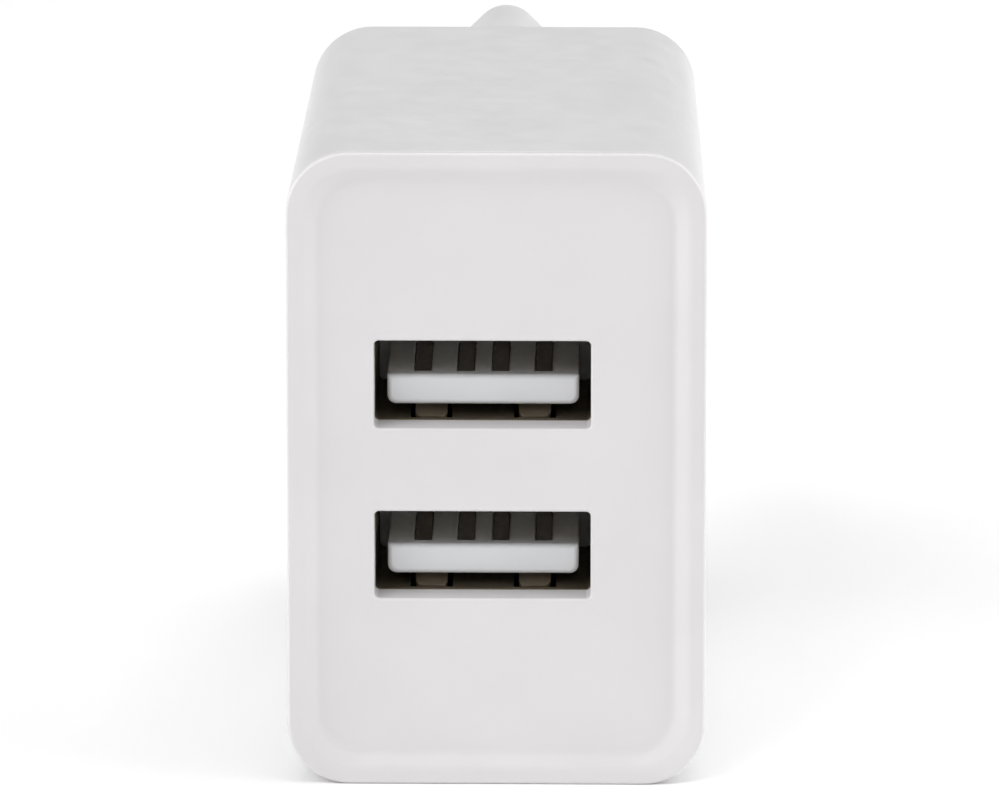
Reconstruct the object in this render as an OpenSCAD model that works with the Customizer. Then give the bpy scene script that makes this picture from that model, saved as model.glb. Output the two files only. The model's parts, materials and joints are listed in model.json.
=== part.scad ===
// Two-port USB wall charger with a fixed two-pin Europlug nose.
// Frame: origin at the centre of the plug's engagement face, between the two pins.
// +Y runs out along the pins, -Y is the side with the USB ports, +Z is up.

/* [Casing] */
// Width of the casing at its front rim
body_w = 24.2; // [23.8:0.1:28]
// Height of the casing at its front rim
body_h = 37.6; // [37.4:0.1:44]
// Length of the casing from front rim to back wall
body_l = 36; // [36:0.5:44]
// Radius of the four long edges
corner_r = 3.6; // [2.6:0.1:4.5]
// How far the top and the underside lean in from front to back
draft = 0.25; // [0:0.05:0.4]
// How far the outside of each side wall leans in from front to back
side_draft = 0.55; // [0.25:0.05:0.7]
// Wall thickness
wall = 1.5; // [1.4:0.1:1.6]
// Thickness of the back wall
back_wall = 1.8; // [1.5:0.1:2.2]
// Rounding of the back edges
back_edge_r = 1; // [0.5:0.1:1.4]

/* [Face cover] */
// Visible edge of the face cover in front of the seam
cover_band = 0.5; // [0.4:0.1:1.2]
// Width of the flat rim
rim_w = 0.7; // [0.5:0.1:1.5]
// Width of the slope between the rim and the sunk panel
slope_w = 1.3; // [0.5:0.1:1.5]
// Depth of the sunk panel
recess_d = 0.5; // [0.2:0.05:0.6]
// Thickness of the sunk panel
panel_t = 2; // [1.4:0.1:2.1]
// Length of the skirt that locates the cover in the casing
skirt_l = 2.1; // [1.5:0.1:2.2]
// Thickness of the skirt
skirt_t = 0.9; // [0.6:0.05:0.95]

/* [Plug] */
// Height of the plug nose, across its two tips
nose_h = 35.3; // [34.6:0.1:36]
// Thickness of the plug nose
nose_t = 13.7; // [13:0.1:14.4]
// How far the nose stands out of the casing
nose_l = 10; // [8:0.5:18]
// Radius of the nose's two tips
nose_tip_r = 2; // [1:0.1:3]
// Diameter of the bare end of a pin
pin_d = 4; // [3.9:0.05:4.1]
// Length of a pin outside the engagement face
pin_l = 19; // [18.5:0.1:19.5]
// Distance between the two pins' axes
pin_pitch = 18.6; // [18:0.1:19.2]
// Diameter of a pin's insulating sleeve
sleeve_d = 3.6; // [3.4:0.05:3.65]
// Length of the insulating sleeve outside the engagement face
sleeve_l = 10; // [9:0.5:11]

/* [USB ports] */
// Height of the upper port's centre above the casing's centre
upper_port_z = 5; // [4.8:0.05:5.2]
// Height of the lower port's centre
lower_port_z = -5.15; // [-5.3:0.05:-5]
// Sideways place of both ports
port_x = -0.8; // [-0.9:0.1:0.9]
// Width of the shell's opening
port_w = 12.5; // [12.4:0.05:12.6]
// Height of the shell's opening
port_h = 5.12; // [5.04:0.02:5.2]
// Width of the contact tongue
tongue_w = 11.1; // [11:0.05:11.2]
// Thickness of the contact tongue
tongue_t = 1.79; // [1.79:0.01:1.89]

/* [Power supply] */
// Thickness of the circuit board
board_t = 1.6; // [1:0.1:1.6]
// Diameter of the electrolytic capacitors
cap_d = 8; // [6.3:0.1:8]
// Height of the two input capacitors
input_cap_h = 14.5; // [10:0.5:16]
// Height of the two output capacitors
output_cap_h = 11.5; // [8:0.5:14]

/* [Hidden] */
$fn = 48;

eps = 0.01;
clearance = 0.05;

// Stations along Y
back_y = -nose_l;
front_y = back_y - body_l;
seam_y = front_y + cover_band;
panel_y = front_y + recess_d;
panel_back_y = panel_y + panel_t;
skirt_end_y = panel_back_y + skirt_l;
inner_back_y = back_y - back_wall;

// Casing and face cover
least_corner_r = 0.4;
cover_edge_r = 0.2;
rim_inner_r = 2.9;
panel_corner_r = 2.4;
window_corner_r = 0.25;

// Plug
nose_wall = 3;
nose_side = 1.6;
nose_chamfer = 0.5;
least_tip_r = 0.5;
boss_l = 3;
boss_d = 7.5;
pin_core_d = 3;
pin_head_d = 5;
pin_head_t = 1;
pin_tip_r = 1.6;
sleeve_grip = 2.5;
pin_z = pin_pitch / 2;
pin_head_y = -nose_wall - boss_l - pin_head_t;
strip_t = 0.4;
strip_w = 2.4;
strip_tail_w = 1.2;
strip_plate_x = 2;
strip_drop_x = -2.6;
strip_tail_y = -13;

// USB ports
window_w = port_w;
window_h = 5.2;
port_corner_r = 0.3;
shell_t = 0.3;
shell_l = 13.6;
flange_out = 0.5;
flange_corner_r = 0.8;
tongue_y = panel_back_y + 0.8;
tongue_l = 8.4;
tongue_lift = 0.69;
tongue_corner_r = 0.46;
slot_w = 1.06;
slot_d = 0.4;
slot_start = 0.85;
contact_start = 0.95;
contact_w = 0.94;
contact_t = 0.25;
contact_sink = 0.08;
contact_x = [-3.5, -1, 1, 3.5];
tail_w = 0.6;
tail_behind_shell = 0.5;
tail_step = 1.25;
finger_w = 1.85;
finger_gap = 0.3;
finger_slot_start = 0.5;
finger_slot_l = 6.2;
finger_start = 0.7;
finger_knee = 0.9;
finger_rise = 0.5;
finger_tip_r = 0.5;
finger_x = 3;

// Board and the parts on it
board_face_x = port_x - port_w / 2 - shell_t - 0.1;
board_x = board_face_x - board_t;
board_half_z = 16.4;
board_front_y = skirt_end_y + 0.2;
board_back_y = inner_back_y - 0.15;
rail_z = 16.15;
rail_h = 1.25;
rail_t = 0.8;
lead_r = 0.3;
lead_hole_r = 0.4;
lead_out = 0.75;
tab_hole_r = 0.75;
tab_w = 1.2;
tab_y = [board_front_y + 1.5, board_front_y + 8.5];
slot_cut_y = -28;
slot_cut_w = 1;
slot_cut_l = 6;

// Solder rings, each [inner radius, outer radius]
lead_ring = [0.34, 0.8];
contact_ring = [0.34, 0.6];
tab_ring = [0.65, 1.15];
solder_h = 0.65;
solder_top_w = 0.15;

cap_z = 12.1;
input_cap_y = -19;
output_cap_y = -37;
cap_pitch = 3.5;
film_t = 0.12;
film_lap = 1;
can_lift = 0.3;
can_t = 0.35;
bung_t = 2;
bung_lift = 0.2;
crimp_r = 0.45;
crimp_out = 0.1;
crimp_rise = 0.6;
vent_w = 0.3;
vent_d = 0.15;

core_w = 16.1;
core_h = 14.2;
core_d = 4.8;
core_back = 2.1;
core_leg = 1.9;
core_mid = 3.9;
core_x = board_face_x + 1.85;
core_y = -19;
bobbin_wall = 0.5;
bobbin_d = 12.4;
bobbin_w = 12;
primary_build = 1.5;
secondary_build = 0.8;
tape_build = 0.2;
spool_x0 = core_x + core_back + clearance;
spool_x1 = core_x + core_h - core_back - clearance;
leg_clearance = 0.16;
leg_hole = [core_d + leg_clearance, core_mid + leg_clearance, 0.2];
flange_outline = [bobbin_d, bobbin_w, 0.5];
round_share = 0.6;
function wrapped(outline, build) =
    [outline[0] + 2 * build, outline[1] + 2 * build, outline[2] + round_share * build];
tube_outline = wrapped(leg_hole, bobbin_wall);
primary_outline = wrapped(tube_outline, primary_build);
secondary_outline = wrapped(primary_outline, secondary_build);
tape_outline = wrapped(secondary_outline, tape_build);
base_w = 15;
base_t = 1.6;
foot_lift = 0.15;
foot_post_d = 3;
foot_post_w = 6;
foot_post_out = 1.7;
trafo_pin_h = 1.35;
trafo_pin_z = [-6.6, -2.2, 2.2, 6.6];
trafo_pin_y = 5.4;

axial_y = -13.45;
axial_z = 12.8;
axial_r = 1.4;
axial_waist = 0.2;
axial_end = 0.3;
axial_round = 0.5;
axial_cap_l = 1.8;
axial_l = 9;
axial_lift = 1;
axial_bend_lift = 1.6;
axial_return = 2.5;

// Parts that bridge the gap between the mains side and the low-voltage side
bridge_y = -28;
disc_r = 3.5;
disc_t = 2.6;
disc_lift = 0.8;
disc_pitch = 5;
opto_w = 4.6;
opto_l = 6.4;
opto_h = 3.4;
opto_row = 7.62;
opto_pitch = 2.54;
opto_lift = 0.6;
opto_z = -11.9;
opto_lead_w = 0.5;
opto_lead_t = 0.25;

// Chips on the solder side: centres as [y, z], sizes as [along Y, along Z, height]
diode_places = [for (y = [-21.2, -16.8], z = [1, 5.4]) [y, z]];
diode_size = [1.8, 3.6, 1];
rectifier_place = [-32.4, 0];
rectifier_size = [4.6, 4, 1.1];
controller_place = [-19, -5.2];
controller_size = [4.8, 3.8, 1.2];
port_ic_y = -35.4;
port_ic_size = [2.9, 1.6, 1.1];
chip_resistor_places = [for (y = [-31.2, -23.6, -15.8], z = [-8.6, 8.6]) [y, z]];
chip_resistor_size = [1.25, 2, 0.5];
chip_capacitor_places = [for (z = [-11.9, -8, 8, 11.9]) [-34.2, z]];
chip_capacitor_size = [1.25, 2, 1.2];

// Where leads and tabs cross the board, as [y, z]
function cap_lead_places(y, z) = [for (s = [-1, 1]) [y, z + s * cap_pitch / 2]];
trafo_pin_places = [for (s = [-1, 1], z = trafo_pin_z) [core_y + s * trafo_pin_y, z]];
axial_places = [for (s = [-1, 1], d = [0, axial_return]) [axial_y, s * (axial_z + d)]];
disc_places = [for (s = [-1, 1]) [bridge_y + s * disc_pitch / 2, cap_z]];
opto_places = [for (s = [-1, 1], t = [-1, 1])
    [bridge_y + s * opto_row / 2, opto_z + t * opto_pitch / 2]];
round_leads = concat(
    cap_lead_places(input_cap_y, cap_z), cap_lead_places(input_cap_y, -cap_z),
    cap_lead_places(output_cap_y, cap_z), cap_lead_places(output_cap_y, -cap_z),
    trafo_pin_places, axial_places, disc_places, opto_places
);
function contact_tail_y(i) = panel_back_y + shell_l + tail_behind_shell + i * tail_step;
function contact_z(zc) = zc - port_h / 2 + tongue_lift + tongue_t - contact_sink - contact_t;
contact_tails = [for (zc = [upper_port_z, lower_port_z], i = [0:3])
    [contact_tail_y(i), contact_z(zc) + contact_t / 2]];
shell_tabs = [for (zc = [upper_port_z, lower_port_z], y = tab_y) [y, zc]];
strip_tails = [for (s = [-1, 1]) [strip_tail_y, s * pin_z]];

// ---- Shapes that repeat ----

module along_y(y0, y1) {
    translate([0, y1, 0]) rotate([90, 0, 0]) linear_extrude(height = y1 - y0) children();
}

module rounded_rect(w, h, r) {
    square([w - 2 * r, h], center = true);
    square([w, h - 2 * r], center = true);
    for (x = [-1, 1], z = [-1, 1])
        translate([x * (w / 2 - r), z * (h / 2 - r)]) circle(r);
}

// The casing's outline at a station y, moved in by an inset
module casing_section(y, inset, r = corner_r) {
    along = 2 * (y - front_y) / body_l;
    side_lean = along * (inset < wall ? side_draft : draft);
    rounded_rect(body_w - side_lean - 2 * inset, body_h - along * draft - 2 * inset,
        max(r - inset, least_corner_r));
}

module casing_slice(y, inset, r = corner_r) {
    along_y(y, y + eps) casing_section(y, inset, r, $fn = 64);
}

module casing_outside() {
    hull() {
        casing_slice(seam_y, 0);
        for (a = [0:15:90])
            casing_slice(back_y - back_edge_r + back_edge_r * sin(a) - eps,
                back_edge_r * (1 - cos(a)));
    }
}

module casing_inside() {
    hull() {
        casing_slice(seam_y - eps, wall);
        casing_slice(inner_back_y - eps, wall);
    }
}

// Hexagonal outline of the plug nose with round tips
module nose_section(inset) {
    half_t = nose_t / 2 - inset;
    r = max(nose_tip_r - inset, least_tip_r);
    sharp_tip = nose_h / 2 - nose_tip_r + nose_tip_r * sqrt(2) - inset * sqrt(2);
    arc_z = sharp_tip - r * sqrt(2);
    flank_x = r / sqrt(2);
    flank_z = arc_z + flank_x;
    shoulder_z = sharp_tip - half_t;
    polygon([
        [half_t, -shoulder_z], [half_t, shoulder_z], [flank_x, flank_z], [-flank_x, flank_z],
        [-half_t, shoulder_z], [-half_t, -shoulder_z], [-flank_x, -flank_z], [flank_x, -flank_z]
    ]);
    for (s = [-1, 1]) translate([0, s * arc_z]) circle(r);
}

// Stands a shape on the board's component face at [y, z]: its own Z becomes +X, its own X becomes -Z
module on_board(place) {
    translate([board_face_x, place[0], place[1]]) rotate([0, 90, 0]) children();
}

// The same for the solder side
module under_board(place) {
    translate([board_x, place[0], place[1]]) rotate([0, -90, 0]) children();
}

module lead(length) {
    translate([0, 0, -board_t - lead_out]) cylinder(r = lead_r, h = length + board_t + lead_out);
}

// ---- Casing ----

module housing() {
    color("whitesmoke") difference() {
        union() {
            difference() {
                casing_outside();
                casing_inside();
            }
            along_y(inner_back_y, -nose_wall) nose_section(0);
            hull() {
                along_y(-nose_wall - eps, -nose_chamfer) nose_section(0);
                along_y(-eps, 0) nose_section(nose_chamfer);
            }
            board_rails();
        }
        nose_cavity();
        for (s = [-1, 1]) pin_bore(s);
    }
}

module nose_cavity() {
    difference() {
        along_y(inner_back_y - eps, -nose_wall) nose_section(nose_side);
        for (s = [-1, 1])
            translate([0, -nose_wall + eps, s * pin_z]) rotate([90, 0, 0])
                cylinder(d = boss_d, h = boss_l + eps);
    }
}

module pin_bore(s) {
    translate([0, -nose_wall - boss_l - eps, s * pin_z]) rotate([-90, 0, 0])
        cylinder(d = pin_core_d, h = nose_wall + boss_l + 1);
    translate([0, -sleeve_grip, s * pin_z]) rotate([-90, 0, 0])
        cylinder(d = sleeve_d, h = sleeve_grip + 1);
}

module board_rails() {
    rail_y = board_front_y + 0.5;
    rail_l = inner_back_y - rail_y + eps;
    for (s = [-1, 1], x = [board_x - clearance - rail_t, board_face_x + clearance])
        translate([x, rail_y, s > 0 ? rail_z : -rail_z - rail_h]) cube([rail_t, rail_l, rail_h]);
}

module face_cover() {
    color("white") difference() {
        union() {
            cover_plate();
            along_y(seam_y - eps, panel_back_y) casing_section(skirt_end_y, wall + clearance);
            skirt();
        }
        cover_recess();
        for (zc = [upper_port_z, lower_port_z])
            translate([port_x, 0, zc]) along_y(front_y - 1, panel_back_y + 1)
                rounded_rect(window_w, window_h, window_corner_r);
    }
}

module cover_plate() {
    hull() {
        casing_slice(seam_y - eps, 0);
        for (a = [0:30:90])
            casing_slice(front_y + cover_edge_r * (1 - sin(a)), cover_edge_r * (1 - cos(a)));
    }
}

module cover_recess() {
    hull() {
        casing_slice(front_y - eps, rim_w, rim_inner_r + rim_w);
        casing_slice(panel_y - eps, rim_w + slope_w, panel_corner_r + rim_w + slope_w);
    }
}

module skirt() {
    along_y(panel_back_y - eps, skirt_end_y) difference() {
        casing_section(skirt_end_y, wall + clearance);
        casing_section(skirt_end_y, wall + clearance + skirt_t);
    }
}

// ---- Plug ----

module pin(s) {
    color("silver") translate([0, 0, s * pin_z]) rotate([-90, 0, 0]) {
        translate([0, 0, pin_head_y]) cylinder(d = pin_head_d, h = pin_head_t);
        translate([0, 0, pin_head_y]) cylinder(d = pin_core_d, h = sleeve_l - pin_head_y);
        translate([0, 0, sleeve_l]) cylinder(d = pin_d, h = pin_l - pin_tip_r - sleeve_l);
        translate([0, 0, pin_l - pin_tip_r]) pin_tip();
    }
}

module pin_tip() {
    flat_r = pin_d / 2 - pin_tip_r;
    rotate_extrude() {
        square([flat_r, pin_tip_r]);
        translate([flat_r, 0]) intersection() {
            circle(pin_tip_r);
            square(pin_tip_r);
        }
    }
}

module pin_sleeve(s) {
    color("whitesmoke") translate([0, -sleeve_grip, s * pin_z]) rotate([-90, 0, 0]) difference() {
        cylinder(d = sleeve_d, h = sleeve_l + sleeve_grip);
        translate([0, 0, -1]) cylinder(d = pin_core_d, h = sleeve_l + sleeve_grip + 2);
    }
}

// Bent strip from a pin's head back and across to the board
module contact_strip(s) {
    color("gold") translate([0, 0, s * pin_z]) {
        translate([0, 0, -strip_w / 2]) linear_extrude(height = strip_w) polygon([
            [strip_plate_x, pin_head_y], [strip_drop_x - strip_t, pin_head_y],
            [strip_drop_x - strip_t, strip_tail_y - strip_t / 2],
            [strip_drop_x, strip_tail_y - strip_t / 2],
            [strip_drop_x, pin_head_y - strip_t], [strip_plate_x, pin_head_y - strip_t]
        ]);
        translate([board_x - lead_out, strip_tail_y - strip_t / 2, -strip_tail_w / 2])
            cube([strip_drop_x - board_x + lead_out, strip_t, strip_tail_w]);
    }
}

// ---- USB ports ----

module port_shell(zc) {
    outer_w = port_w + 2 * shell_t;
    outer_h = port_h + 2 * shell_t;
    color("lightgray") translate([port_x, 0, zc]) {
        difference() {
            union() {
                along_y(panel_back_y, panel_back_y + shell_l)
                    rounded_rect(outer_w, outer_h, port_corner_r + shell_t);
                along_y(panel_back_y, panel_back_y + shell_t)
                    rounded_rect(outer_w + flange_out, outer_h + flange_out, flange_corner_r);
            }
            along_y(panel_back_y - 1, panel_back_y + shell_l + 1)
                rounded_rect(port_w, port_h, port_corner_r);
            for (s = [-1, 1], x = [-finger_x, finger_x]) finger_slot(x, s);
        }
        for (s = [-1, 1], x = [-finger_x, finger_x]) finger(x, s);
        for (y = tab_y) shell_tab(y);
    }
}

// Tab from the shell's side through the board
module shell_tab(y) {
    side_x = -port_w / 2 - shell_t / 2;
    tip_x = board_x - lead_out - port_x;
    translate([tip_x, y - tab_w / 2, -shell_t / 2]) cube([side_x - tip_x, tab_w, shell_t]);
}

module finger_slot(x, s) {
    slot_w = finger_w + 2 * finger_gap;
    translate([x, panel_back_y + finger_slot_start + finger_slot_l / 2, s * (port_h + shell_t) / 2])
        cube([slot_w, finger_slot_l, 2 * shell_t], center = true);
}

// Spring finger: rooted at the back, rising to a knee, with its free end towards the mouth
module finger(x, s) {
    y0 = panel_back_y + finger_start;
    y1 = panel_back_y + finger_slot_start + finger_slot_l + eps;
    knee_y = y0 + finger_knee;
    tip_lift = 0.02;
    mirror([0, 0, s > 0 ? 1 : 0]) translate([x, 0, -port_h / 2 - shell_t]) intersection() {
        translate([-finger_w / 2, 0, 0]) rotate([90, 0, 90]) linear_extrude(height = finger_w) polygon([
            [y0, tip_lift], [knee_y, finger_rise], [y1, 0],
            [y1, shell_t], [knee_y, finger_rise + shell_t], [y0, tip_lift + shell_t]
        ]);
        translate([0, y0, -1]) linear_extrude(height = 3) finger_outline();
    }
}

module finger_outline() {
    corner_x = finger_w / 2 - finger_tip_r;
    translate([-finger_w / 2, finger_tip_r]) square([finger_w, finger_slot_l]);
    translate([-corner_x, 0]) square([2 * corner_x, 2 * finger_tip_r]);
    for (c = [-1, 1]) translate([c * corner_x, finger_tip_r]) circle(finger_tip_r);
}

module tongue_outline() {
    half = tongue_w / 2;
    r = tongue_corner_r;
    translate([-half, r]) square([tongue_w, tongue_t - r]);
    translate([-half + r, 0]) square([tongue_w - 2 * r, r + eps]);
    for (s = [-1, 1]) translate([s * (half - r), r]) circle(r);
}

module port_insulator(zc) {
    block_y = tongue_y + tongue_l;
    tongue_top = -port_h / 2 + tongue_lift + tongue_t;
    color("white") translate([port_x, 0, zc]) difference() {
        union() {
            translate([0, 0, -port_h / 2 + tongue_lift])
                along_y(tongue_y, block_y + eps) tongue_outline();
            along_y(block_y, panel_back_y + shell_l)
                rounded_rect(port_w - 2 * clearance, port_h - 2 * clearance, port_corner_r);
        }
        for (x = contact_x) {
            translate([x - slot_w / 2, tongue_y + slot_start, tongue_top - slot_d])
                cube([slot_w, tongue_l - slot_start, slot_d + eps]);
            translate([x - contact_w / 2, block_y - eps, contact_z(0)])
                cube([contact_w, shell_l, contact_t]);
        }
    }
}

// Four flat contacts that run back along the tongue and then turn across to the board
module port_contacts(zc) {
    color("darkgoldenrod") translate([0, 0, contact_z(zc)]) for (i = [0:3]) {
        x0 = port_x + contact_x[i] - contact_w / 2;
        y0 = tongue_y + contact_start;
        tail_x = board_x - lead_out;
        translate([x0, y0, 0]) cube([contact_w, contact_tail_y(i) + tail_w / 2 - y0, contact_t]);
        translate([tail_x, contact_tail_y(i) - tail_w / 2, 0])
            cube([x0 + contact_w - tail_x, tail_w, contact_t]);
    }
}

// ---- Board ----

module main_board() {
    color("seagreen") difference() {
        translate([board_x, board_front_y, -board_half_z])
            cube([board_t, board_back_y - board_front_y, 2 * board_half_z]);
        board_holes(round_leads, lead_hole_r);
        board_holes(contact_tails, lead_hole_r);
        board_holes(shell_tabs, tab_hole_r);
        board_holes(strip_tails, tab_hole_r);
        isolation_slot();
    }
}

module board_holes(places, r) {
    for (p = places)
        translate([board_x - 1, p[0], p[1]]) rotate([0, 90, 0]) cylinder(r = r, h = board_t + 2);
}

// Slot that lengthens the path between the mains side and the low-voltage side
module isolation_slot() {
    translate([board_x - 1, slot_cut_y - slot_cut_w / 2, -slot_cut_l / 2])
        cube([board_t + 2, slot_cut_w, slot_cut_l]);
}

module solder_joints() {
    color("silver") {
        for (p = round_leads) under_board(p) solder_joint(lead_ring);
        for (p = contact_tails) under_board(p) solder_joint(contact_ring);
        for (p = concat(shell_tabs, strip_tails)) under_board(p) solder_joint(tab_ring);
    }
}

module solder_joint(ring) {
    rotate_extrude() polygon([
        [ring[0], 0], [ring[1], 0], [ring[0] + solder_top_w, solder_h], [ring[0], solder_h]
    ]);
}

// ---- Transformer, standing with its winding axis along X ----

module e_core_half() {
    half_h = core_h / 2;
    translate([-half_h, 0, -core_w / 2]) cube([core_back, core_d, core_w]);
    for (s = [-1, 1])
        translate([-half_h, 0, s > 0 ? core_w / 2 - core_leg : -core_w / 2])
            cube([half_h, core_d, core_leg]);
    translate([-half_h, 0, -core_mid / 2]) cube([half_h, core_d, core_mid]);
}

module transformer_core(top) {
    color("dimgray") translate([core_x + core_h / 2, core_y - core_d / 2, 0])
        mirror([top ? 1 : 0, 0, 0]) e_core_half();
}

// A tube along X around the transformer's middle leg; each outline is [width, height, corner radius]
module winding_ring(x0, x1, inner, outer) {
    translate([x0, core_y, 0]) rotate([90, 0, 90]) linear_extrude(height = x1 - x0) difference() {
        rounded_rect(outer[0], outer[1], outer[2]);
        rounded_rect(inner[0], inner[1], inner[2]);
    }
}

module transformer_bobbin() {
    color("black") {
        winding_ring(spool_x0, spool_x1, leg_hole, tube_outline);
        winding_ring(spool_x0, spool_x0 + bobbin_wall, leg_hole, flange_outline);
        winding_ring(spool_x1 - bobbin_wall, spool_x1, leg_hole, flange_outline);
        bobbin_foot();
    }
}

module bobbin_foot() {
    foot_x = board_face_x + foot_lift;
    post_x = foot_x + base_t - eps;
    difference() {
        translate([foot_x, core_y - bobbin_d / 2, -base_w / 2]) cube([base_t, bobbin_d, base_w]);
        for (p = trafo_pin_places) on_board(p) cylinder(r = lead_r, h = trafo_pin_h);
    }
    for (s = [-1, 1]) {
        post_y = core_y + s * (core_d / 2 + foot_post_out) - foot_post_d / 2;
        translate([post_x, post_y, -foot_post_w / 2])
            cube([spool_x0 - post_x + eps, foot_post_d, foot_post_w]);
    }
}

module transformer_winding(inner, outer, tint) {
    color(tint) winding_ring(spool_x0 + bobbin_wall, spool_x1 - bobbin_wall, inner, outer);
}

module transformer_pins() {
    color("silver") for (p = trafo_pin_places) on_board(p) lead(trafo_pin_h);
}

// ---- Electrolytic capacitors, standing on the board ----

module capacitor_can(place, h) {
    r = cap_d / 2 - film_t;
    top = h - film_t;
    color("silver") on_board(place) difference() {
        translate([0, 0, can_lift]) cylinder(r = r, h = top - can_lift);
        translate([0, 0, bung_lift]) cylinder(r = r - can_t, h = bung_t);
        crimp_groove(r);
        for (a = [0, 90]) rotate(a) translate([-r / 2, -vent_w / 2, top - vent_d]) cube([r, vent_w, 1]);
    }
}

module crimp_groove(r) {
    translate([0, 0, bung_t + crimp_rise]) rotate_extrude()
        translate([r + crimp_out, 0]) circle(crimp_r);
}

module capacitor_sleeve(place, h) {
    r = cap_d / 2;
    color("darkgreen") on_board(place) rotate_extrude() polygon([
        [r - film_t, can_lift], [r, can_lift], [r, h],
        [r - film_lap, h], [r - film_lap, h - film_t], [r - film_t, h - film_t]
    ]);
}

module capacitor_bung(place) {
    color("black") on_board(place) difference() {
        translate([0, 0, bung_lift]) cylinder(r = cap_d / 2 - film_t - can_t, h = bung_t);
        for (s = [-1, 1]) translate([s * cap_pitch / 2, 0, -1]) cylinder(r = lead_r, h = bung_t + 2);
    }
}

module capacitor_leads(place) {
    color("silver") for (s = [-1, 1])
        on_board(place + [0, s * cap_pitch / 2]) lead(bung_t + bung_lift);
}

// ---- Small parts ----

// Half of an axial part's outline, from its middle to one end
function axial_outline(e) = let(end = e > 0 ? axial_l : 0) [
    [axial_r - axial_waist, end - e * (axial_round + axial_cap_l)],
    [axial_r, end - e * axial_cap_l], [axial_r, end - e * axial_round],
    [axial_r - axial_end, end], [0, end]
];

module axial_body(s, tint) {
    lower = axial_outline(-1);
    color(tint) on_board([axial_y, s * axial_z]) difference() {
        translate([0, 0, axial_lift]) rotate_extrude()
            polygon(concat([for (i = [4:-1:0]) lower[i]], axial_outline(1)));
        cylinder(r = lead_r, h = 2 * axial_lift);
        translate([0, 0, axial_l]) cylinder(r = lead_r, h = 2 * axial_lift);
    }
}

// Both leads of a standing axial part; the far one is bent over and runs back down
module axial_lead(s) {
    bend = axial_return / 2;
    top = axial_l + axial_bend_lift;
    color("silver") on_board([axial_y, s * axial_z]) {
        lead(2 * axial_lift);
        translate([0, 0, axial_l]) cylinder(r = lead_r, h = top - axial_l);
        translate([-s * bend, 0, top]) rotate([90, 0, 0]) rotate_extrude(angle = 180)
            translate([bend, 0]) circle(lead_r);
        translate([-s * axial_return, 0, 0]) lead(top);
    }
}

module y_capacitor() {
    color("royalblue") on_board([bridge_y, cap_z]) difference() {
        translate([0, 0, disc_r + disc_lift]) rotate([0, 90, 0])
            cylinder(r = disc_r, h = disc_t, center = true);
        for (s = [-1, 1]) translate([0, s * disc_pitch / 2, 0]) cylinder(r = lead_r, h = disc_r);
    }
}

module y_capacitor_leads() {
    color("silver") for (p = disc_places) on_board(p) lead(disc_r);
}

module optocoupler() {
    color("black") on_board([bridge_y, opto_z]) translate([-opto_w / 2, -opto_l / 2, opto_lift])
        cube([opto_w, opto_l, opto_h]);
}

module optocoupler_leads() {
    leg_h = opto_lift + opto_h / 2;
    shoulder = (opto_row - opto_l) / 2 + lead_r;
    color("silver") for (s = [-1, 1], t = [-1, 1])
        on_board([bridge_y + s * opto_row / 2, opto_z + t * opto_pitch / 2]) {
            lead(leg_h);
            translate([-opto_lead_w / 2, s > 0 ? lead_r - shoulder : -lead_r, leg_h - opto_lead_t])
                cube([opto_lead_w, shoulder, opto_lead_t]);
        }
}

module chip(place, size) {
    under_board(place) translate([-size[1] / 2, -size[0] / 2, 0]) cube([size[1], size[0], size[2]]);
}

module rectifier_diodes() {
    color("black") for (p = diode_places) chip(p, diode_size);
}

module output_rectifier() {
    color("black") chip(rectifier_place, rectifier_size);
}

module controller_ic() {
    color("black") chip(controller_place, controller_size);
}

module port_controller_ics() {
    color("black") for (z = [upper_port_z, lower_port_z]) chip([port_ic_y, z], port_ic_size);
}

module chip_resistors() {
    color("black") for (p = chip_resistor_places) chip(p, chip_resistor_size);
}

module chip_capacitors() {
    color("tan") for (p = chip_capacitor_places) chip(p, chip_capacitor_size);
}

// ---- The assembly ----

housing();
face_cover();
pin(1);  // live_pin
pin(-1);  // neutral_pin
pin_sleeve(1);  // live_pin_sleeve
pin_sleeve(-1);  // neutral_pin_sleeve
contact_strip(1);  // live_contact_strip
contact_strip(-1);  // neutral_contact_strip
port_shell(upper_port_z);  // upper_port_shell
port_insulator(upper_port_z);  // upper_port_insulator
port_contacts(upper_port_z);  // upper_port_contacts
port_shell(lower_port_z);  // lower_port_shell
port_insulator(lower_port_z);  // lower_port_insulator
port_contacts(lower_port_z);  // lower_port_contacts
main_board();
solder_joints();
transformer_core(true);  // transformer_core_top
transformer_core(false);  // transformer_core_base
transformer_bobbin();
transformer_winding(tube_outline, primary_outline, "peru");  // transformer_primary
transformer_winding(primary_outline, secondary_outline, "chocolate");  // transformer_secondary
transformer_winding(secondary_outline, tape_outline, "gold");  // transformer_tape
transformer_pins();
capacitor_can([input_cap_y, cap_z], input_cap_h);  // upper_input_capacitor_can
capacitor_sleeve([input_cap_y, cap_z], input_cap_h);  // upper_input_capacitor_sleeve
capacitor_bung([input_cap_y, cap_z]);  // upper_input_capacitor_bung
capacitor_leads([input_cap_y, cap_z]);  // upper_input_capacitor_leads
capacitor_can([input_cap_y, -cap_z], input_cap_h);  // lower_input_capacitor_can
capacitor_sleeve([input_cap_y, -cap_z], input_cap_h);  // lower_input_capacitor_sleeve
capacitor_bung([input_cap_y, -cap_z]);  // lower_input_capacitor_bung
capacitor_leads([input_cap_y, -cap_z]);  // lower_input_capacitor_leads
capacitor_can([output_cap_y, cap_z], output_cap_h);  // upper_output_capacitor_can
capacitor_sleeve([output_cap_y, cap_z], output_cap_h);  // upper_output_capacitor_sleeve
capacitor_bung([output_cap_y, cap_z]);  // upper_output_capacitor_bung
capacitor_leads([output_cap_y, cap_z]);  // upper_output_capacitor_leads
capacitor_can([output_cap_y, -cap_z], output_cap_h);  // lower_output_capacitor_can
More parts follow.
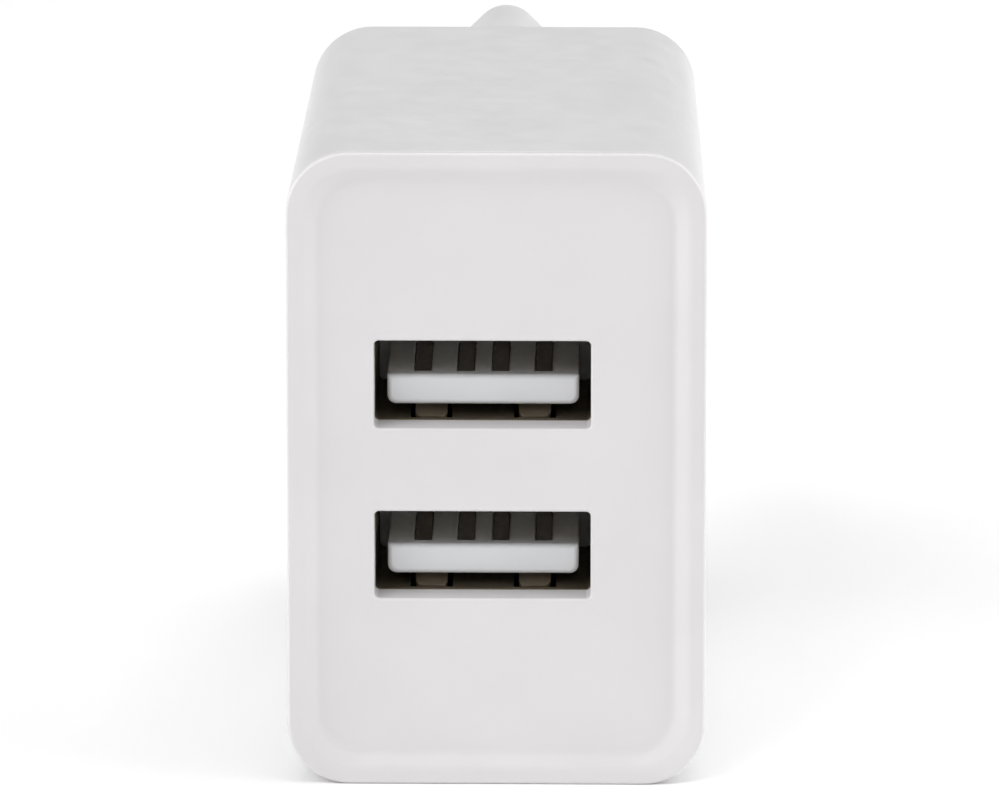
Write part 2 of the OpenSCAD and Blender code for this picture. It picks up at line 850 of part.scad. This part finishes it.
capacitor_sleeve([output_cap_y, -cap_z], output_cap_h);  // lower_output_capacitor_sleeve
capacitor_bung([output_cap_y, -cap_z]);  // lower_output_capacitor_bung
capacitor_leads([output_cap_y, -cap_z]);  // lower_output_capacitor_leads
axial_body(1, "darkseagreen");  // fusible_resistor
axial_lead(1);  // fusible_resistor_lead
axial_body(-1, "olivedrab");  // input_choke
axial_lead(-1);  // input_choke_lead
y_capacitor();
y_capacitor_leads();
optocoupler();
optocoupler_leads();
rectifier_diodes();
output_rectifier();
controller_ic();
port_controller_ics();
chip_resistors();
chip_capacitors();
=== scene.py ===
import json
import math
import bmesh
import bpy
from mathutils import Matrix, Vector


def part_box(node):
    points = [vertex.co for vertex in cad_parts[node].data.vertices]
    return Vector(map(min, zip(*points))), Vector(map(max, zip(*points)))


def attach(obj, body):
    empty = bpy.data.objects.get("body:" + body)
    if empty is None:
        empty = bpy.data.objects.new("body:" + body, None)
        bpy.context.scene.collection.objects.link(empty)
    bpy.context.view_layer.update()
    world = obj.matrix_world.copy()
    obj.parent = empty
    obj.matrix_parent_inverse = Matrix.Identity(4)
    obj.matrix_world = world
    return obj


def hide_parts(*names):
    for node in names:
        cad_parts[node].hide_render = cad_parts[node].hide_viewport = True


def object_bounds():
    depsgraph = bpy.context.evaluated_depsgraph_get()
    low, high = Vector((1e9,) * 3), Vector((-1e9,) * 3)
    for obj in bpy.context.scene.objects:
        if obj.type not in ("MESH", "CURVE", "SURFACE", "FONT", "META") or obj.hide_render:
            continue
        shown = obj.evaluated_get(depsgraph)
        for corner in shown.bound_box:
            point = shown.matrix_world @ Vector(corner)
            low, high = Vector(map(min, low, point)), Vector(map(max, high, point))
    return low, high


# Looks of a two-port USB wall charger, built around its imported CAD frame. Metres; +Y runs out along the pins.
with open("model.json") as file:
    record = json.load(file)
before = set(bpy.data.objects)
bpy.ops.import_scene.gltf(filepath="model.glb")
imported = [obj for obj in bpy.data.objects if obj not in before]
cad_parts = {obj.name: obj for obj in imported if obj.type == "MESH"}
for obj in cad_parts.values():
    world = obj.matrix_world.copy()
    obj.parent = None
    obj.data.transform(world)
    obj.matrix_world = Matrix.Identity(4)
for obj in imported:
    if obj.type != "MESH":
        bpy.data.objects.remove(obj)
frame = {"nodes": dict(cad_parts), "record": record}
cad_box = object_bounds()
MM = 0.001

# ---- Places and sizes, from the frame ----

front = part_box("face_cover")
casing_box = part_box("housing")
FRONT_Y = front[0].y
SEAM_Y = casing_box[0].y
HALF_W = front[1].x
HALF_H = front[1].z
PLUG_FACE_Y = casing_box[1].y
SKIRT_END_Y = front[1].y
PANEL_BACK_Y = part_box("upper_port_shell")[0].y
PIN_Z = (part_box("live_pin")[0].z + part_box("live_pin")[1].z) / 2
SLEEVE_R = (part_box("live_pin_sleeve")[1].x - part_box("live_pin_sleeve")[0].x) / 2
SLEEVE_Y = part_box("live_pin_sleeve")[0].y
PORTS = ["upper", "lower"]


def port_centre(port):
    """Centre of a port's mouth, in X and Z."""
    low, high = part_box(port + "_port_insulator")
    return (low.x + high.x) / 2, (low.z + high.z) / 2


# ---- The ports' dimensions ----

PORT_W = 12.5 * MM
PORT_H = 5.12 * MM
PORT_CORNER_R = 0.3 * MM
TONGUE_W = 11.1 * MM
TONGUE_T = 1.79 * MM
TONGUE_L = 8.4 * MM
TONGUE_LIFT = 0.69 * MM
TONGUE_CORNER_R = 0.5 * MM
TONGUE_TOP_R = 0.12 * MM
TONGUE_EDGE_R = 0.3 * MM
SLOT_START = 0.85 * MM
SLOT_W = 1.06 * MM
SLOT_D = 0.4 * MM
CONTACT_W = 0.94 * MM
CONTACT_X = [-3.5 * MM, -1.0 * MM, 1.0 * MM, 3.5 * MM]

# ---- The casing's dimensions ----

CORNER_R = 3.6 * MM
LEAST_CORNER_R = 0.4 * MM
DRAFT = 0.25 * MM
SIDE_DRAFT = 0.55 * MM
CASING_L = 36 * MM
WALL = 1.5 * MM
BACK_WALL = 1.8 * MM
BACK_EDGE_R = 1.0 * MM
SEAM_CHAMFER = 0.06 * MM
CLEARANCE = 0.05 * MM
SKIRT_T = 0.9 * MM
COVER_EDGE_R = 0.2 * MM
RECESS_D = 0.5 * MM
SLOPE_FROM = 0.74 * MM
SLOPE_TO = 2.0 * MM
# Share of the slope's length that is curved at each end
SLOPE_CURVE = 0.32
# How much of an inset the outline's corner radius loses on the face
CORNER_SHARE = 0.6
WINDOW_W = PORT_W
WINDOW_H = 5.2 * MM
WINDOW_CORNER_R = 0.28 * MM
WINDOW_EDGE_R = 0.16 * MM

NOSE_H = 35.3 * MM
NOSE_T = 13.7 * MM
NOSE_TIP_R = 2.0 * MM
LEAST_TIP_R = 0.5 * MM
NOSE_SHOULDER_R = 0.8 * MM
LEAST_SHOULDER_R = 0.2 * MM
NOSE_ROOT_R = 0.3 * MM
NOSE_EDGE_R = 0.5 * MM
NOSE_WALL = 3.0 * MM
NOSE_SIDE = 1.6 * MM
BOSS_L = 3.0 * MM
BOSS_R = 3.75 * MM
PIN_CORE_R = 1.5 * MM
RAIL_T = 0.8 * MM
RAIL_H = 1.25 * MM
RAIL_Z = 16.775 * MM
RAIL_EDGE_R = 0.15 * MM
RAIL_SETBACK = 0.5 * MM
RAIL_ROOT = 0.1 * MM
BACK_Y = FRONT_Y + CASING_L
INNER_BACK_Y = BACK_Y - BACK_WALL

# ---- Steps of the round stretches, and limits ----

CIRCLE_STEPS = 48
CORNER_STEPS = 12
TIP_STEPS = 16
BACK_EDGE_STEPS = 10
ROOT_STEPS = 5
COVER_EDGE_STEPS = 8
SLOPE_STEPS = 18
EDGE_STEPS = 6
SMALL_STEPS = 3
MERGE_DIST = 1e-7
SHARP_ANGLE = math.radians(30)


# ---- Mesh helpers ----

def arc(cx, cz, r, start, end, steps):
    """Points of an arc in the XZ plane, angles in degrees."""
    turns = [math.radians(start + (end - start) * i / steps) for i in range(steps + 1)]
    return [(cx + r * math.cos(t), cz + r * math.sin(t)) for t in turns]


def rounded_rect(half_w, half_h, r, cx=0.0, cz=0.0, steps=CORNER_STEPS):
    """Outline of a rounded rectangle, anticlockwise from its right side."""
    corners = [(1, -1, -90), (1, 1, 0), (-1, 1, 90), (-1, -1, 180)]
    points = []
    for sx, sz, start in corners:
        points += arc(cx + sx * (half_w - r), cz + sz * (half_h - r), r, start, start + 90, steps)
    return points


def circle(cz, r):
    """Outline of a circle on the plug's middle plane."""
    return arc(0, cz, r, 0, 360, CIRCLE_STEPS)[:-1]


def casing_outline(y, inset, r=None):
    """The casing's outline at station y, moved in by an inset; the sides of the cavity lean in less."""
    along = (y - FRONT_Y) / CASING_L
    side_lean = along * (SIDE_DRAFT if inset < WALL else DRAFT)
    radius = max(CORNER_R - inset, LEAST_CORNER_R) if r is None else r
    return rounded_rect(HALF_W - side_lean - inset, HALF_H - along * DRAFT - inset, radius)


def nose_outline(inset):
    """Hexagonal outline of the plug nose with round tips and shoulders, from its lower right shoulder."""
    half_t = NOSE_T / 2 - inset
    tip = NOSE_H / 2 + (NOSE_TIP_R - inset) * (math.sqrt(2) - 1) - inset
    tip_r = max(NOSE_TIP_R - inset, LEAST_TIP_R)
    shoulder_r = max(NOSE_SHOULDER_R - inset, LEAST_SHOULDER_R)
    tip_z = tip - tip_r * math.sqrt(2)
    shoulder_z = tip - half_t - shoulder_r * math.tan(math.radians(22.5))
    shoulder_x = half_t - shoulder_r
    points = arc(shoulder_x, -shoulder_z, shoulder_r, -45, 0, EDGE_STEPS)
    points += arc(shoulder_x, shoulder_z, shoulder_r, 0, 45, EDGE_STEPS)
    points += arc(0, tip_z, tip_r, 45, 135, TIP_STEPS)
    points += arc(-shoulder_x, shoulder_z, shoulder_r, 135, 180, EDGE_STEPS)
    points += arc(-shoulder_x, -shoulder_z, shoulder_r, 180, 225, EDGE_STEPS)
    points += arc(0, -tip_z, tip_r, 225, 315, TIP_STEPS)
    return points


def add_ring(bm, outline, y):
    """One closed loop of vertices at station y; outline points are (x, z)."""
    return [bm.verts.new((x, y, z)) for x, z in outline]


def bridge(bm, a, b):
    """A band of quads between two loops with the same number of vertices."""
    count = len(a)
    for i in range(count):
        j = (i + 1) % count
        bm.faces.new((a[i], a[j], b[j], b[i]))


def loft(bm, rings):
    """Bands between neighbouring loops; returns the loops."""
    loops = [add_ring(bm, outline, y) for outline, y in rings]
    for a, b in zip(loops, loops[1:]):
        bridge(bm, a, b)
    return loops


def fill(bm, loops):
    """A flat face bounded by its first loop, with the others as holes."""
    edges = []
    for loop in loops:
        for i, v in enumerate(loop):
            nxt = loop[(i + 1) % len(loop)]
            edges.append(bm.edges.get((v, nxt)) or bm.edges.new((v, nxt)))
    bmesh.ops.triangle_fill(bm, edges=edges, use_beauty=True, use_dissolve=False)


def quarter(steps):
    """(sine, 1 - cosine) along a quarter turn, for rounded edges."""
    turns = [math.radians(90 * i / steps) for i in range(steps + 1)]
    return [(math.sin(t), 1 - math.cos(t)) for t in turns]


def finish_mesh(bm, name):
    """Makes the bmesh an object with outward normals, smooth shading and sharp edges at flat joins."""
    bmesh.ops.remove_doubles(bm, verts=bm.verts, dist=MERGE_DIST)
    bmesh.ops.recalc_face_normals(bm, faces=bm.faces)
    mesh = bpy.data.meshes.new(name)
    bm.to_mesh(mesh)
    bm.free()
    mesh.shade_smooth()
    mesh.set_sharp_from_angle(angle=SHARP_ANGLE)
    piece = bpy.data.objects.new(name, mesh)
    bpy.context.scene.collection.objects.link(piece)
    weighted = piece.modifiers.new("weighted", "WEIGHTED_NORMAL")
    weighted.keep_sharp = True
    return piece


# ---- Casing ----

def add_board_rails(bm):
    """Two pairs of ribs, above and below, between which the board's edges slide in."""
    board_low, board_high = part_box("main_board")
    for x in (board_low.x - CLEARANCE - RAIL_T / 2, board_high.x + CLEARANCE + RAIL_T / 2):
        for side in (1, -1):
            outline = rounded_rect(RAIL_T / 2, RAIL_H / 2, RAIL_EDGE_R, x, side * RAIL_Z, SMALL_STEPS)
            rib = loft(bm, [(outline, board_low.y + RAIL_SETBACK), (outline, INNER_BACK_Y + RAIL_ROOT)])
            for end in rib:
                fill(bm, [end])


def casing_mesh():
    """Sleeve, back wall and plug nose in one moulding, open at the front."""
    bm = bmesh.new()
    outer = [
        (casing_outline(SEAM_Y, SEAM_CHAMFER), SEAM_Y),
        (casing_outline(SEAM_Y, 0), SEAM_Y + SEAM_CHAMFER)
    ]
    for s, d in quarter(BACK_EDGE_STEPS):
        outer.append((casing_outline(BACK_Y, d * BACK_EDGE_R), BACK_Y - BACK_EDGE_R * (1 - s)))
    outside = loft(bm, outer)
    nose = [(nose_outline(-NOSE_ROOT_R * (1 - s)), BACK_Y + NOSE_ROOT_R * d) for s, d in quarter(ROOT_STEPS)]
    for s, d in quarter(EDGE_STEPS):
        nose.append((nose_outline(NOSE_EDGE_R * d), PLUG_FACE_Y - NOSE_EDGE_R * (1 - s)))
    nose_loops = loft(bm, nose)
    fill(bm, [outside[-1], nose_loops[0]])
    inside = loft(bm, [(casing_outline(y, WALL), y) for y in (SEAM_Y, INNER_BACK_Y)])
    bridge(bm, outside[0], inside[0])
    nose_inside = loft(bm, [(nose_outline(NOSE_SIDE), y) for y in (INNER_BACK_Y, -NOSE_WALL)])
    fill(bm, [inside[-1], nose_inside[0]])
    bosses, bores = [], []
    for side in (1, -1):
        z = side * PIN_Z
        boss = loft(bm, [(circle(z, BOSS_R), -NOSE_WALL), (circle(z, BOSS_R), -NOSE_WALL - BOSS_L)])
        bore = loft(bm, [
            (circle(z, PIN_CORE_R), -NOSE_WALL - BOSS_L), (circle(z, PIN_CORE_R), SLEEVE_Y),
            (circle(z, SLEEVE_R), SLEEVE_Y), (circle(z, SLEEVE_R), PLUG_FACE_Y)
        ])
        bridge(bm, boss[-1], bore[0])
        bosses.append(boss[0])
        bores.append(bore[-1])
    fill(bm, [nose_inside[-1]] + bosses)
    fill(bm, [nose_loops[-1]] + bores)
    add_board_rails(bm)
    return finish_mesh(bm, "casing")


# ---- Face cover ----

def eased(t):
    """Runs from 0 to 1 along a straight line that starts and ends in a short curve."""
    if t > 0.5:
        return 1 - eased(1 - t)
    rise = t * t / (2 * SLOPE_CURVE) if t < SLOPE_CURVE else t - SLOPE_CURVE / 2
    return rise / (1 - SLOPE_CURVE)


def face_profile():
    """(inset, station) pairs from the seam round the edge, over the rim and down the slope to the panel."""
    points = [(SEAM_CHAMFER, SEAM_Y), (0, SEAM_Y - SEAM_CHAMFER)]
    points += [(d * COVER_EDGE_R, FRONT_Y + COVER_EDGE_R * (1 - s)) for s, d in quarter(COVER_EDGE_STEPS)]
    for i in range(SLOPE_STEPS + 1):
        t = i / SLOPE_STEPS
        points.append((SLOPE_FROM + (SLOPE_TO - SLOPE_FROM) * t, FRONT_Y + RECESS_D * eased(t)))
    return points


def window_loops(bm, port):
    """Walls of one port window, rounded at the front; returns its front and back loops."""
    cx, cz = port_centre(port)
    panel_y = FRONT_Y + RECESS_D
    rings = []
    for s, d in quarter(EDGE_STEPS):
        grow = WINDOW_EDGE_R * (1 - s)
        outline = rounded_rect(WINDOW_W / 2 + grow, WINDOW_H / 2 + grow, WINDOW_CORNER_R + grow, cx, cz)
        rings.append((outline, panel_y + WINDOW_EDGE_R * d))
    rings.append((rounded_rect(WINDOW_W / 2, WINDOW_H / 2, WINDOW_CORNER_R, cx, cz), PANEL_BACK_Y))
    loops = loft(bm, rings)
    return loops[0], loops[-1]


def face_mesh():
    """Front frame, sunk panel with two windows, and the skirt that sits inside the casing."""
    bm = bmesh.new()
    rings = []
    for inset, y in face_profile():
        rings.append((casing_outline(FRONT_Y, inset, CORNER_R - CORNER_SHARE * inset), y))
    outside = loft(bm, rings)
    windows = [window_loops(bm, port) for port in PORTS]
    fill(bm, [outside[-1]] + [w[0] for w in windows])
    skirt_out = casing_outline(SKIRT_END_Y, WALL + CLEARANCE)
    skirt_in = casing_outline(SKIRT_END_Y, WALL + CLEARANCE + SKIRT_T)
    skirt = loft(bm, [
        (skirt_out, SEAM_Y), (skirt_out, SKIRT_END_Y), (skirt_in, SKIRT_END_Y), (skirt_in, PANEL_BACK_Y)
    ])
    bridge(bm, outside[0], skirt[0])
    fill(bm, [skirt[-1]] + [w[1] for w in windows])
    return finish_mesh(bm, "face")


# ---- Port insulators ----

def tongue_outline(cx, base, inset, slot_d):
    """The contact tongue's outline: round lower corners, and slots of a given depth in its top."""
    half, low, top = TONGUE_W / 2 - inset, base + inset, base + TONGUE_T - inset
    r = TONGUE_CORNER_R - inset / 2
    points = arc(cx + half - r, low + r, r, -90, 0, EDGE_STEPS)
    points += arc(cx + half - TONGUE_TOP_R, top - TONGUE_TOP_R, TONGUE_TOP_R, 0, 90, SMALL_STEPS)
    for x in reversed(CONTACT_X):
        for side, depth in ((1, 0), (1, slot_d), (-1, slot_d), (-1, 0)):
            points.append((cx + x + side * SLOT_W / 2, top - depth))
    points += arc(cx - half + TONGUE_TOP_R, top - TONGUE_TOP_R, TONGUE_TOP_R, 90, 180, SMALL_STEPS)
    points += arc(cx - half + r, low + r, r, 180, 270, EDGE_STEPS)
    return points


def insulator_mesh(port):
    """Slotted tongue with soft edges on its block, which four contacts run through."""
    bm = bmesh.new()
    low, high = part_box(port + "_port_insulator")
    cx, cz = port_centre(port)
    base = cz - PORT_H / 2 + TONGUE_LIFT
    block_y = low.y + TONGUE_L
    rings = []
    for s, d in quarter(EDGE_STEPS):
        rings.append((tongue_outline(cx, base, TONGUE_EDGE_R * (1 - s), 0), low.y + TONGUE_EDGE_R * d))
    rings.append((tongue_outline(cx, base, 0, 0), low.y + SLOT_START))
    rings.append((tongue_outline(cx, base, 0, SLOT_D), low.y + SLOT_START))
    rings.append((tongue_outline(cx, base, 0, SLOT_D), block_y))
    tongue = loft(bm, rings)
    # Slots of no depth fold flat here, so the front is closed from the edges that are left
    bmesh.ops.remove_doubles(bm, verts=[v for loop in tongue[:-1] for v in loop], dist=MERGE_DIST)
    open_edges = [e for e in bm.edges if e.is_boundary]
    front_edges = [e for e in open_edges if all(abs(v.co.y - low.y) < MERGE_DIST for v in e.verts)]
    bmesh.ops.holes_fill(bm, edges=front_edges, sides=0)
    outline = rounded_rect(PORT_W / 2 - CLEARANCE, PORT_H / 2 - CLEARANCE, PORT_CORNER_R, cx, cz, EDGE_STEPS)
    block = loft(bm, [(outline, block_y), (outline, high.y)])
    contact_low, contact_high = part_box(port + "_port_contacts")
    half_t = (contact_high.z - contact_low.z) / 2
    contact_z = (contact_high.z + contact_low.z) / 2
    tunnels = []
    for x in CONTACT_X:
        corners = ((-1, -1), (1, -1), (1, 1), (-1, 1))
        hole = [(cx + x + sx * CONTACT_W / 2, contact_z + sz * half_t) for sx, sz in corners]
        tunnels.append(loft(bm, [(hole, block_y), (hole, high.y)]))
    fill(bm, [block[0], tongue[-1]] + [t[0] for t in tunnels])
    fill(bm, [block[-1]] + [t[-1] for t in tunnels])
    return finish_mesh(bm, port + "_insulator")


# ---- Materials ----

def new_material(name, colour, rough, metallic=0.0):
    """A plain Principled material, with its shader."""
    material = bpy.data.materials.new(name)
    material.use_nodes = True
    shader = material.node_tree.nodes["Principled BSDF"]
    shader.inputs["Base Color"].default_value = (*colour, 1)
    shader.inputs["Roughness"].default_value = rough
    shader.inputs["Metallic"].default_value = metallic
    return material, shader


def noise(material, size, detail, stretch=(1, 1, 1)):
    """Noise in the row frame whose grains are about size metres across."""
    nodes, links = material.node_tree.nodes, material.node_tree.links
    place = nodes.new("ShaderNodeTexCoord")
    mapping = nodes.new("ShaderNodeMapping")
    mapping.inputs["Scale"].default_value = [k / size for k in stretch]
    texture = nodes.new("ShaderNodeTexNoise")
    texture.inputs["Scale"].default_value = 1.0
    texture.inputs["Detail"].default_value = detail
    links.new(place.outputs["Object"], mapping.inputs["Vector"])
    links.new(mapping.outputs["Vector"], texture.inputs["Vector"])
    return texture.outputs["Fac"]


def vary(material, shader, socket, source, low, high):
    """Drives a socket from a noise value, between two values or two colours."""
    nodes, links = material.node_tree.nodes, material.node_tree.links
    ramp = nodes.new("ShaderNodeValToRGB")
    for element, place, value in zip(ramp.color_ramp.elements, (0.3, 0.7), (low, high)):
        element.position = place
        element.color = (*value, 1) if hasattr(value, "__len__") else (value, value, value, 1)
    links.new(source, ramp.inputs["Fac"])
    links.new(ramp.outputs["Color"], shader.inputs[socket])


def bump(material, shader, source, height):
    """Gives the surface a relief of a height in metres."""
    nodes, links = material.node_tree.nodes, material.node_tree.links
    layer = nodes.new("ShaderNodeBump")
    layer.inputs["Distance"].default_value = height
    links.new(source, layer.inputs["Height"])
    links.new(layer.outputs["Normal"], shader.inputs["Normal"])


def shade(colour, share):
    """A lighter or darker version of a colour."""
    return tuple(c * share for c in colour)


PLASTIC_IOR = 1.49
CLOUD_SIZE = 6 * MM
CLOUD_SHARE = 0.015
PLASTIC_PATCH_SIZE = 1.5 * MM
PLASTIC_GLOSS_SPREAD = 0.05
STAIN_SIZE = 2 * MM
METAL_DARK = 0.93
METAL_LIGHT = 1.03
METAL_GLOSS_SPREAD = 0.06
METAL_RELIEF = 0.001 * MM


def moulded(name, colour, rough, grain=0.12 * MM, height=0.004 * MM):
    """Injection-moulded plastic: fine mould texture, faint flow clouds and patchy gloss."""
    material, shader = new_material(name, colour, rough)
    dark, light = shade(colour, 1 - CLOUD_SHARE), shade(colour, 1 + CLOUD_SHARE)
    vary(material, shader, "Base Color", noise(material, CLOUD_SIZE, 2), dark, light)
    glossy, dull = rough - PLASTIC_GLOSS_SPREAD, rough + PLASTIC_GLOSS_SPREAD
    vary(material, shader, "Roughness", noise(material, PLASTIC_PATCH_SIZE, 4), glossy, dull)
    bump(material, shader, noise(material, grain, 2), height)
    shader.inputs["IOR"].default_value = PLASTIC_IOR
    return material


def metal(name, colour, rough, grain=0.3 * MM, stretch=(1, 1, 1)):
    """Plated or bare metal with fine drawn lines or grain and patchy gloss."""
    material, shader = new_material(name, colour, rough, 1.0)
    dark, light = shade(colour, METAL_DARK), shade(colour, METAL_LIGHT)
    vary(material, shader, "Base Color", noise(material, STAIN_SIZE, 3), dark, light)
    glossy, dull = rough - METAL_GLOSS_SPREAD, rough + METAL_GLOSS_SPREAD
    vary(material, shader, "Roughness", noise(material, grain, 3, stretch), glossy, dull)
    bump(material, shader, noise(material, grain, 3, stretch), METAL_RELIEF)
    return material


CASING_WHITE = (0.655, 0.655, 0.655)
COVER_WHITE = (0.662, 0.648, 0.654)
INSULATOR_WHITE = (0.87, 0.885, 0.905)
COPPER = (0.62, 0.26, 0.10)
ALONG_Y = (0.1, 1, 0.1)
ROUND_X = (1, 0.05, 0.05)
materials = {
    "casing_plastic": moulded("casing_plastic", CASING_WHITE, 0.36, grain=0.2 * MM, height=0.002 * MM),
    "cover_plastic": moulded("cover_plastic", COVER_WHITE, 0.34, grain=0.14 * MM, height=0.003 * MM),
    "pin_nickel": metal("pin_nickel", (0.70, 0.67, 0.62), 0.2, grain=0.08 * MM, stretch=ALONG_Y),
    "sleeve_plastic": moulded("sleeve_plastic", (0.74, 0.73, 0.72), 0.5),
    "spring_bronze": metal("spring_bronze", (0.62, 0.42, 0.22), 0.3),
    # Port shells: steel, but painted darker and browner than bare steel, so that the colour carries the shade
    # deep inside the port mouths
    "port_steel": metal("port_steel", (0.3, 0.255, 0.19), 0.46),
    "port_plastic": moulded("port_plastic", INSULATOR_WHITE, 0.38, grain=0.08 * MM, height=0.002 * MM),
    # Contacts: gold, painted near black, so that the shade down in the tongue's slots is in their colour
    "contact_gold": metal("contact_gold", (0.14, 0.095, 0.055), 0.34),
    "board_laminate": moulded("board_laminate", (0.03, 0.16, 0.07), 0.35),
    "solder": metal("solder", (0.68, 0.68, 0.69), 0.25),
    "ferrite": moulded("ferrite", (0.05, 0.048, 0.05), 0.6, grain=0.1 * MM, height=0.01 * MM),
    "bobbin_plastic": moulded("bobbin_plastic", (0.02, 0.02, 0.02), 0.45),
    "enamelled_copper": metal("enamelled_copper", COPPER, 0.28, grain=0.2 * MM, stretch=ROUND_X),
    "tape_film": moulded("tape_film", (0.75, 0.55, 0.08), 0.25),
    "tinned_wire": metal("tinned_wire", (0.70, 0.70, 0.70), 0.3),
    "can_aluminium": metal("can_aluminium", (0.80, 0.80, 0.81), 0.28),
    "input_sleeve_film": moulded("input_sleeve_film", (0.015, 0.02, 0.05), 0.28),
    "output_sleeve_film": moulded("output_sleeve_film", (0.02, 0.09, 0.05), 0.28),
    "bung_rubber": moulded("bung_rubber", (0.02, 0.02, 0.02), 0.7),
    "resistor_coating": moulded("resistor_coating", (0.25, 0.42, 0.33), 0.4),
    "choke_coating": moulded("choke_coating", (0.16, 0.25, 0.10), 0.4),
    "disc_coating": moulded("disc_coating", (0.05, 0.14, 0.42), 0.35),
    "chip_epoxy": moulded("chip_epoxy", (0.02, 0.02, 0.021), 0.55),
    "chip_resistor_glaze": moulded("chip_resistor_glaze", (0.02, 0.02, 0.02), 0.25),
    "chip_ceramic": moulded("chip_ceramic", (0.42, 0.30, 0.18), 0.35),
}


# ---- The pieces that the CAD carries over ----

WELD_DIST = 1e-6
BEVEL_SEGMENTS = 2
BEVEL_ANGLE = math.radians(35)


def finish_node(name, material, bevel):
    """A CAD node with its material and, where its edges are worked, a bevel."""
    node = frame["nodes"][name]
    node.data.materials.clear()
    node.data.materials.append(material)
    if not bevel:
        return
    weld = node.modifiers.new("weld", "WELD")
    weld.merge_threshold = WELD_DIST
    round_off = node.modifiers.new("bevel", "BEVEL")
    round_off.width = bevel
    round_off.segments = BEVEL_SEGMENTS
    round_off.limit_method = "ANGLE"
    round_off.angle_limit = BEVEL_ANGLE
    weighted = node.modifiers.new("weighted", "WEIGHTED_NORMAL")
    weighted.keep_sharp = True


BEVELS = {
    "port_steel": 0.05 * MM, "ferrite": 0.15 * MM, "bobbin_plastic": 0.08 * MM, "chip_epoxy": 0.08 * MM,
    "chip_ceramic": 0.06 * MM, "chip_resistor_glaze": 0.05 * MM, "spring_bronze": 0.05 * MM,
    "contact_gold": 0.03 * MM
}
for part in frame["record"]["subparts"]:
    finish_node(part["node"], materials[part["material_slot"]], BEVELS.get(part["material_slot"], 0.0))


# ---- The pieces made here ----

def place_piece(piece, node, slot):
    """Puts a piece in the place of its CAD node."""
    piece.data.materials.append(materials[slot])
    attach(piece, "root")
    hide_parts(node)


place_piece(casing_mesh(), "housing", "casing_plastic")
place_piece(face_mesh(), "face_cover", "cover_plastic")
for port in PORTS:
    place_piece(insulator_mesh(port), port + "_port_insulator", "port_plastic")


# ---- Floor, light and camera ----

FLOOR_HALF_SIZE = 3.0
LIGHT_TARGET = Vector((0, -0.03, 0))
CAMERA_DISTANCE = 0.6
CAMERA_AZIMUTH = 0.8
CAMERA_ELEVATION = 14.75
CAMERA_LENS = 374.8
CAMERA_AIM = Vector((0.22, 0, 4.25)) * MM


def make_floor():
    """A plain white floor under the charger."""
    bm = bmesh.new()
    bmesh.ops.create_grid(bm, x_segments=2, y_segments=2, size=FLOOR_HALF_SIZE)
    mesh = bpy.data.meshes.new("floor")
    bm.to_mesh(mesh)
    bm.free()
    floor = bpy.data.objects.new("floor", mesh)
    floor.location.z = cad_box[0][2]
    material, shader = new_material("floor_white", (0.97, 0.97, 0.97), 0.6)
    vary(material, shader, "Roughness", noise(material, 40 * MM, 2), 0.55, 0.7)
    mesh.materials.append(material)
    bpy.context.scene.collection.objects.link(floor)


def direction(azimuth, elevation):
    """Unit vector away from the charger, in degrees; azimuth 0 is in front and 90 to the right."""
    a, e = math.radians(azimuth), math.radians(elevation)
    return Vector((math.sin(a) * math.cos(e), -math.cos(a) * math.cos(e), math.sin(e)))


def make_light(name, azimuth, elevation, size, power):
    """A softbox one metre away, turned to the middle of the charger."""
    light = bpy.data.lights.new(name, "AREA")
    light.shape = "RECTANGLE"
    light.size, light.size_y = size
    light.energy = power
    lamp = bpy.data.objects.new(name, light)
    towards = direction(azimuth, elevation)
    lamp.location = LIGHT_TARGET + towards
    lamp.rotation_euler = (-towards).to_track_quat("-Z", "Y").to_euler()
    bpy.context.scene.collection.objects.link(lamp)


def make_world(strength):
    """Even white light from all sides."""
    world = bpy.data.worlds.new("studio")
    world.use_nodes = True
    background = world.node_tree.nodes["Background"]
    background.inputs["Color"].default_value = (1, 1, 1, 1)
    background.inputs["Strength"].default_value = strength
    bpy.context.scene.world = world


def make_camera():
    """Far away, a little above and nearly square on, so that the verticals stay upright."""
    face_centre = Vector((0, FRONT_Y, 0))
    data = bpy.data.cameras.new("camera")
    data.sensor_width = 36.0
    data.lens = CAMERA_LENS
    data.clip_start = 0.05
    data.clip_end = 10.0
    camera = bpy.data.objects.new("camera", data)
    camera.location = face_centre + direction(CAMERA_AZIMUTH, CAMERA_ELEVATION) * CAMERA_DISTANCE
    towards = face_centre + CAMERA_AIM - camera.location
    camera.rotation_euler = towards.to_track_quat("-Z", "Y").to_euler()
    bpy.context.scene.collection.objects.link(camera)
    bpy.context.scene.camera = camera


make_floor()
make_world(0.2)
make_light("left_box", -80, 15, (0.7, 0.6), 5.6)
make_light("right_box", 80, 15, (0.7, 0.6), 5.9)
make_light("front_left_box", -40, 45, (0.6, 0.5), 3.4)
make_light("front_right_box", 50, 20, (0.6, 0.5), 0.65)
make_light("top_box", 0, 80, (0.7, 0.7), 3.9)
make_light("back_right_box", 130, 45, (0.7, 0.6), 3.0)
make_camera()
bpy.context.scene.view_settings.view_transform = "Standard"
